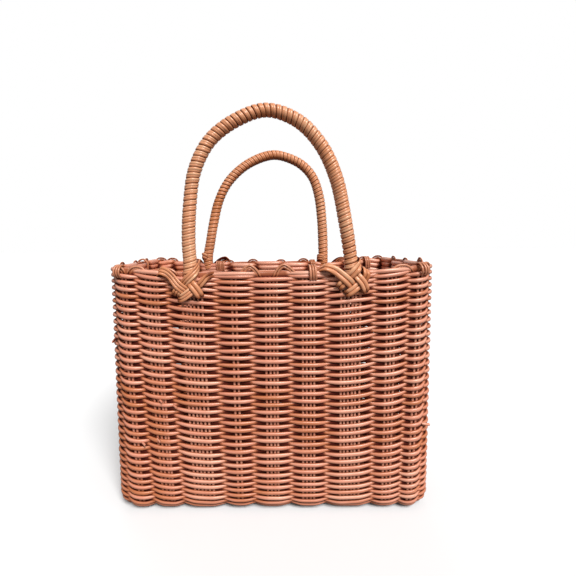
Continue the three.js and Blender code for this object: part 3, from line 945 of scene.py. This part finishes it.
class BASKET_BAG_OT_stand_stakes(bpy.types.Operator):
    """Stand the groups of stakes that the wall is woven on"""

    bl_idname = "basket_bag.stand_stakes"
    bl_label = "Stand Stakes"

    def execute(self, context):
        settings = context.scene.basket_bag
        form, weave = BodyForm(settings), settings.weave
        random = np.random.default_rng(12)
        shares = np.concatenate([np.linspace(0, 0.08, 8), np.linspace(0.1, 0.985, 18)])
        routes = []
        for column in form.columns:
            middle, lean = (column["start"] + column["end"]) / 2, sum(column["leans"]) / 2
            for index in range(column["stakes"]):
                across = (index - (column["stakes"] - 1) / 2) * weave.stake_spacing
                stand = middle + across + random.uniform(-0.35, 0.35) * MM
                distance = stand + (1 - shares) ** LEAN_GROWTH * lean
                points, normals = form.point(distance, form.climb(distance, shares), 0.0)
                # A swing under one paints the stakes' sides in shade and leaves their middles lit
                routes.append(route(points, normals, random.uniform(0.5, 1), swing=0.66))
        swept_piece(
            "wall_stakes", routes + self.cane_ends(form, random), finishes(settings)["stakes"], "cane_weave",
            cane_width=weave.stake_diameter, wander=0.4 * MM, wander_detail=30.0, sinking=0.95,
        )
        return {"FINISHED"}

    def cane_ends(self, form, random):
        """Short cut ends that stand out between two rows."""
        routes = []
        for wall, across, up, out in CANE_ENDS:
            distance = form.distance_at(wall, across * MM) + END_ALONG * MM
            offset = END_OUT * (form.half_wall + out * MM)
            points, normals = form.point(distance, form.bend_length + up * MM - form.upright_start, offset)
            points[:, 2] += END_UP * MM
            routes.append(route(points, normals, random.uniform(0.6, 1), swing=0.9))
        return routes


class BASKET_BAG_OT_weave_floor(bpy.types.Operator):
    """Weave the floor across the stakes that run from front to back"""

    bl_idname = "basket_bag.weave_floor"
    bl_label = "Weave Floor"

    def execute(self, context):
        settings = context.scene.basket_bag
        form, weave = BodyForm(settings), settings.weave
        random = np.random.default_rng(13)
        taper = form.taper * (1 - form.half_wall / form.rim_height)
        half = form.core - taper + form.mid_radius - form.bend_radius
        inwards = 1 - taper[0] / form.mid[0]
        leant = [
            share * form.mid[0] * inwards + lean * MM
            for share, lean in zip(LONG_SIDE_CROSSINGS, LONG_SIDE_LEANS[1:])
        ]
        crossings = np.array([-half[0], *leant, half[0]])
        canes = [self.cane(form, weave, row, crossings, half, random) for row in range(weave.floor_rows)]
        stakes = self.stakes(form, weave, crossings, half, random)
        made = finishes(settings)
        swept_piece(
            "floor_weave", canes, made["weave"], "cane_weave", ["woven_base"],
            cane_width=weave.cane_diameter, flatness=weave.cane_flatness, wander=weave.wander, sinking=1.0,
        )
        swept_piece(
            "floor_stakes", stakes, made["stakes"], "cane_weave", cane_width=weave.stake_diameter, sides=6
        )
        return {"FINISHED"}

    def cane(self, form, weave, row, crossings, half, random):
        across = (2 * (row + 0.5) / weave.floor_rows - 1) * (half[1] - 0.4 * MM)
        x = np.arange(crossings[0] + 1 * MM, crossings[-1] - 0.9 * MM, FLOOR_STEP)
        column = np.clip(np.searchsorted(crossings, x) - 1, 0, len(crossings) - 2)
        starts, ends = crossings[column], crossings[column + 1]
        lift = np.sin(math.pi * (x - starts) / (ends - starts)) ** 0.75
        sign = np.where((column + row) % 2 == 0, 1, -1)
        points = np.column_stack([x, np.full(len(x), across), form.half_wall + form.swing * sign * lift])
        girth = weave.squeeze + (1 - weave.squeeze) * lift
        return route(points, (0, 0, 1), random.uniform(0, 1), swing=sign * lift, girth=girth)

    def stakes(self, form, weave, crossings, half, random):
        y = np.linspace(-half[1] - 2 * MM, half[1] + 2 * MM, 14)
        routes = []
        for start, end, count in zip(crossings, crossings[1:], LONG_SIDE_STAKES):
            for index in range(count):
                x = (start + end) / 2 + (index - (count - 1) / 2) * weave.stake_spacing
                if abs(x) <= half[0] - 3 * MM:
                    points = np.column_stack([np.full_like(y, x), y, np.full_like(y, form.half_wall)])
                    # Painted shade on the floor stakes, which lie under the floor canes
                    routes.append(route(points, (0, 0, 1), random.uniform(0, 1), shade=0.35))
        return routes


class BASKET_BAG_OT_loop_rim(bpy.types.Operator):
    """Loop the stake ends over the rim between their groups"""

    bl_idname = "basket_bag.loop_rim"
    bl_label = "Loop Rim"

    def execute(self, context):
        settings = context.scene.basket_bag
        form, rim = BodyForm(settings), settings.rim
        random = np.random.default_rng(14)
        loops = [strand for loop in RIM_LOOPS for strand in self.loop(form, rim, random, *loop)]
        wraps = [strand for wrap in RIM_WRAPS for strand in self.wrap(form, rim, random, *wrap)]
        finish = finishes(settings)["border"]
        sizes = {"cane_width": rim.strand, "flatness": rim.flatness, "wander": 0.25 * MM, "sinking": 0.5}
        swept_piece("rim_loops", loops, finish, "cane_border", ["rim_border"], **sizes)
        swept_piece("rim_wraps", wraps, finish, "cane_border", **sizes)
        return {"FINISHED"}

    def loop(self, form, rim, random, wall, across, rise, left, right):
        """The two strands of a loop over the rim, one inside the other."""
        sign = -1 if wall in ("back", "left") else 1
        for inner in (0, 1):
            nested = inner * 1.02 * rim.strand / MM
            ways = []
            for share, out, up, down, under in LOOP:
                reach = (left if share < 0 else right) - 0.9 * nested
                ways.append((share * reach, out - 0.5 * inner, up * rise - down - under * nested))
            along, out, up = smooth_through(ways, RIM_STEP).T
            distance = form.distance_at(wall, across * MM) + sign * along * MM
            points = form.at_rim(distance, out * MM, up * MM)
            outward = unit(np.column_stack([form.place(distance)[1], np.clip(up, 0, 4) / 5]))
            # Painted shade, darker lower down where the loop goes in among the rows
            painted_low_shade = np.clip((-1.5 - up) / 4, 0, 0.8)
            yield route(points, outward, random.uniform(0.1, 0.9), swing=1.0, shade=painted_low_shade)

    def wrap(self, form, rim, random, wall, across, strands, lift):
        """Strands side by side that hold the rim down."""
        out, up = smooth_through(RIM_WRAP, RIM_STEP).T
        above = up + lift * np.clip((up + 3) / 4, 0, 1)
        for strand in range(strands):
            skew = np.linspace(-0.8, 0.8, len(out)) + random.uniform(-0.15, 0.15)
            shift = (strand - (strands - 1) / 2) * rim.strand + skew * MM
            distance = form.distance_at(wall, across * MM) + shift
            points = form.at_rim(distance, out * MM, above * MM)
            away = form.place(distance)[1] * (out / 5)[:, None]
            outward = unit(np.column_stack([away, np.clip(up + 2, 0, 6) / 4]))
            yield route(points, outward, random.uniform(0.2, 0.9), swing=1.0)


def arch_line(form, handle, arch, side):
    """Centreline of a handle from rim to rim, and the direction square to the arch's plane."""
    points = []
    for across, up in arch:
        x = across * handle.span / 2
        above = ARCH_START + handle.rise * up
        points.append((x, side * (form.mid[1] + handle.lean * up), form.rim_at(x) + above))
    foot_y = side * (form.mid[1] + FOOT_OUT)
    first, last = ((x, foot_y, form.rim_at(x) - FOOT_DOWN) for x in (points[0][0], points[-1][0]))
    line = smooth_through([first, *points, last], ARCH_STEP)
    lean = math.atan2(handle.lean, handle.rise)
    return line, np.array([0, math.cos(lean), -side * math.sin(lean)])


def at(places, length, values):
    """Values of a line at places along it."""
    return np.column_stack([np.interp(places, length, column) for column in values.T])


class BASKET_BAG_OT_wrap_handles(bpy.types.Operator):
    """Bend the two arch handles and wrap them in paired canes"""

    bl_idname = "basket_bag.wrap_handles"
    bl_label = "Wrap Handles"

    def execute(self, context):
        settings = context.scene.basket_bag
        form, handle = BodyForm(settings), settings.handle
        made = finishes(settings)
        core_width = handle.diameter - 1.5 * handle.wrap_flatness * handle.wrap_width
        for index, (name, arch, side) in enumerate((("front", FRONT_ARCH, -1), ("back", BACK_ARCH, 1))):
            random = np.random.default_rng(21 + index)
            line, square = arch_line(form, handle, arch, side)
            wraps = self.wraps(line, square, handle, random, index * BACK_HANDLE_SHADE)
            swept_piece(
                f"{name}_handle_wrap", wraps, made["wrap"], "cane_wrap", [f"{name}_handle"],
                cane_width=handle.wrap_width, flatness=handle.wrap_flatness, sinking=0.8,
            )
            swept_piece(
                f"{name}_handle_core", [self.core(line, side)], made["stakes"], "cane_wrap",
                cane_width=core_width, sides=14,
            )
        return {"FINISHED"}

    def core(self, line, side):
        """The plain rod under the wrapping, thinner where it goes down into the wall."""
        down = np.array([0, 0, -CORE_DEPTH])
        points = np.vstack([line[:1] + down, line[::8], line[-1:] + down])
        girth = np.ones(len(points))
        girth[[0, -1]], girth[[1, -2]] = CORE_ENDS
        # Painted shade on the rod, which lies under the wrapping
        return route(points, (0, side, 0), 0.4, girth=girth, shade=0.75)

    def wraps(self, line, square, handle, random, shade):
        """The two canes of the wrapping, wound side by side, here closer and there more open."""
        length = lengths_along(line)
        turns = length[-1] / handle.wrap_lead
        share = np.linspace(0, 1, int(turns * TURN_POINTS))
        run = share * length[-1]
        turn = -FULL_TURN * share * turns
        phase = random.uniform(0, FULL_TURN, 8)
        middle = (handle.diameter - handle.wrap_width * handle.wrap_flatness) / 2
        routes = []
        for strand in (0, 1):
            slack = sum(
                height * MM * np.sin(run / (wave * MM) + phase[i] + strand * 0.5)
                for i, (wave, height) in enumerate(SLACK_WAVES)
            )
            beside = (strand - 0.5) * PAIR_CLOSENESS * handle.wrap_lead / 2
            place = np.clip(run + slack + beside - SLANT * np.cos(turn), 0, length[-1])
            heading = unit(at(place, length, tangents(line)))
            normal = unit(np.cross(heading, square))
            outward = normal * np.cos(turn)[:, None] + square * np.sin(turn)[:, None]
            radius = middle + WRAP_RISE * np.sin(run / RISE_WAVE + phase[5 + strand])
            points = at(place, length, line) + outward * radius[:, None]
            open_sides = 0.5 + 0.5 * np.sin(run / OPEN_WAVE + phase[4])
            girth = 1 - OPEN_LOSS * open_sides * np.cos(turn) ** 2
            girth = girth + GIRTH_SWING * np.sin(run / GIRTH_WAVE + phase[strand])
            # Painted shade on the undersides, over the painted shade given for the back handle
            under = shade + UNDERSIDE_SHADE * np.clip(UNDERSIDE - outward[:, 2], 0, 1)
            routes.append(route(points, outward, PAIR_TONES[strand], swing=1.0, girth=girth, shade=under))
        return routes


def knot_band(band, around_leg, spot, turn, base_width, random):
    """Strands side by side along one band of a knot, on the wall at a leg."""
    strands, width, way = band
    middle = smooth_through(way, KNOT_STEP)
    x, out, up = middle.T
    if around_leg:
        round_leg = np.clip((up - way[4][2]) / 3, 0, 1)
        away = np.column_stack([x * round_leg, out, np.clip(up + 2, 0, 4) * (1 - round_leg)])
    else:
        away = np.column_stack([x * 0.12, out, np.clip(up + 2, 0, 8)])
    away = unit(away)
    across = unit(np.cross(tangents(middle), away))
    mirror = np.array([1, -1, 1])
    spin = np.array([[math.cos(turn), math.sin(turn), 0], [-math.sin(turn), math.cos(turn), 0], [0, 0, 1]])
    ends = np.minimum(np.arange(len(x)), np.arange(len(x))[::-1])
    girth = width * MM / base_width * (0.7 + 0.3 * np.minimum(1, ends / 5))
    shade = np.clip((SHADE_START - np.abs(out)) / SHADE_DEPTH, 0, 0.75) * np.clip(-up / 4, 0.3, 1)
    routes = []
    for strand in range(strands):
        place = strand - (strands - 1) / 2
        line = middle + across * place * width + away * (-0.2 * place**2 + random.uniform(-0.12, 0.12))
        points = line * mirror * MM @ spin + spot
        outward = away * mirror @ spin
        routes.append(route(points, outward, random.uniform(0.2, 1), swing=1.0, girth=girth, shade=shade))
    return routes


class BASKET_BAG_OT_tie_knots(bpy.types.Operator):
    """Tie each leg of the handles to the rim with a plaited knot"""

    bl_idname = "basket_bag.tie_knots"
    bl_label = "Tie Knots"

    def execute(self, context):
        settings = context.scene.basket_bag
        form, knot = BodyForm(settings), settings.knot
        finish = finishes(settings)["knot"]
        random = np.random.default_rng(31)
        other = {"left": "right", "right": "left"}
        for wall, arch, side, turn in (("front", FRONT_ARCH, -1, 0.0), ("back", BACK_ARCH, 1, math.pi)):
            for leg, foot in (("left", arch[0]), ("right", arch[-1])):
                x = foot[0] * settings.handle.span / 2
                spot = (x, side * form.mid[1], form.rim_at(x))
                routes = []
                for index, band in enumerate(KNOT_BANDS[leg if side < 0 else other[leg]]):
                    routes += knot_band(band, index == LEG_BAND, spot, turn, knot.strand_width, random)
                swept_piece(
                    f"{wall}_{leg}_knot_bands", routes, finish, "cane_knot", [f"{wall}_{leg}_knot"], sides=10,
                    cane_width=knot.strand_width, flatness=knot.flatness, wander=0.3 * MM, sinking=1.0,
                )
        return {"FINISHED"}


class BASKET_BAG_OT_set_stage(bpy.types.Operator):
    """Set the pale floor, the soft light and the camera"""

    bl_idname = "basket_bag.set_stage"
    bl_label = "Set Stage"

    def execute(self, context):
        stage = context.scene.basket_bag.stage
        self.floor()
        self.surround(context, stage.surround)
        self.light("key_light", *KEY_LIGHT, stage.key_strength)
        self.light("right_fill", *RIGHT_FILL, stage.fill_strength)
        self.light("back_fill", *REAR_FILL, stage.fill_strength)
        self.camera(context, stage.focal_length)
        context.scene.view_settings.view_transform = "Standard"
        return {"FINISHED"}

    def floor(self):
        corners = [(x * HALF_FLOOR, y * HALF_FLOOR, 0) for x, y in ((-1, -1), (1, -1), (1, 1), (-1, 1))]
        mesh = bpy.data.meshes.new("studio_floor")
        mesh.from_pydata(corners, [], [(0, 1, 2, 3)])
        mesh.materials.append(self.floor_material())
        new_object("studio_floor", mesh)

    def floor_material(self):
        """Nearly white where it is seen, and greyer where its light falls back on the bag."""
        material = bpy.data.materials.new("pale_floor")
        t = cleared(material)
        seen = t.add("ShaderNodeLightPath").outputs["Is Camera Ray"]
        brightness = t.math("MAXIMUM", t.math("MULTIPLY", seen, FLOOR_SEEN), FLOOR_BOUNCE)
        grey = t.add("ShaderNodeCombineXYZ", {0: brightness, 1: brightness, 2: brightness})
        t.add("ShaderNodeOutputMaterial", {"Surface": t.add("ShaderNodeBsdfDiffuse", {"Color": grey})})
        return material

    def surround(self, context, strength):
        """White where it is seen, and as bright as the setting says where it lights the bag."""
        world = context.scene.world or bpy.data.worlds.new("studio")
        context.scene.world = world
        t = cleared(world)
        brightness = t.math("MAXIMUM", t.add("ShaderNodeLightPath").outputs["Is Camera Ray"], strength)
        white = t.add("ShaderNodeBackground", {"Color": (1, 1, 1, 1), "Strength": brightness})
        t.add("ShaderNodeOutputWorld", {"Surface": white})

    def light(self, name, place, spread, strength):
        """A soft light that shines evenly from a direction."""
        data = bpy.data.lights.new(name, "SUN")
        data.angle = math.radians(spread)
        data.energy = strength
        lamp = new_object(name, data)
        lamp.location = place
        lamp.rotation_euler = (-Vector(place)).to_track_quat("-Z", "Y").to_euler()

    def camera(self, context, focal_length):
        """The camera of the photo, a little in front of the bag and above its rim."""
        data = bpy.data.cameras.new("photo_camera")
        data.sensor_width = 36.0
        data.lens = focal_length
        data.shift_x, data.shift_y = CAMERA_SHIFT
        data.clip_start = 0.01
        camera = new_object("photo_camera", data)
        yaw, pitch, roll = (math.radians(angle) for angle in CAMERA_TURN)
        facing = Matrix.Rotation(yaw, 4, "Z") @ Matrix.Rotation(QUARTER_TURN - pitch, 4, "X")
        facing = facing @ Matrix.Rotation(-roll, 4, "Z")
        camera.matrix_world = Matrix.Translation(Vector(CAMERA_PLACE) * MM) @ facing
        context.scene.camera = camera


class BASKET_BAG_PT_panel(bpy.types.Panel):
    """Lists the pieces of the bag and their sizes"""

    bl_idname = "BASKET_BAG_PT_panel"
    bl_label = "Basket Bag"
    bl_space_type = "VIEW_3D"
    bl_region_type = "UI"
    bl_category = "Basket Bag"

    def draw(self, context):
        layout = self.layout
        settings = context.scene.basket_bag
        for operator in OPERATORS:
            layout.operator(operator.bl_idname)
        for group in ("body", "weave", "rim", "handle", "knot", "finish", "stage"):
            box = layout.box()
            box.label(text=group.capitalize())
            values = getattr(settings, group)
            for key in values.bl_rna.properties.keys():
                if key not in ("name", "rna_type"):
                    box.prop(values, key)


OPERATORS = (
    BASKET_BAG_OT_weave_wall,
    BASKET_BAG_OT_stand_stakes,
    BASKET_BAG_OT_weave_floor,
    BASKET_BAG_OT_loop_rim,
    BASKET_BAG_OT_wrap_handles,
    BASKET_BAG_OT_tie_knots,
    BASKET_BAG_OT_set_stage,
)
SETTINGS = (
    BodySettings,
    WeaveSettings,
    RimSettings,
    HandleSettings,
    KnotSettings,
    FinishSettings,
    StageSettings,
    BasketBagSettings,
)
CLASSES = SETTINGS + OPERATORS + (BASKET_BAG_PT_panel,)


def register():
    for item in CLASSES:
        bpy.utils.register_class(item)
    bpy.types.Scene.basket_bag = bpy.props.PointerProperty(type=BasketBagSettings)


def unregister():
    del bpy.types.Scene.basket_bag
    for item in reversed(CLASSES):
        bpy.utils.unregister_class(item)


def main():
    register()
    for operator in OPERATORS:
        group, name = operator.bl_idname.split(".")
        getattr(getattr(bpy.ops, group), name)()


if __name__ == "__main__":
    main()
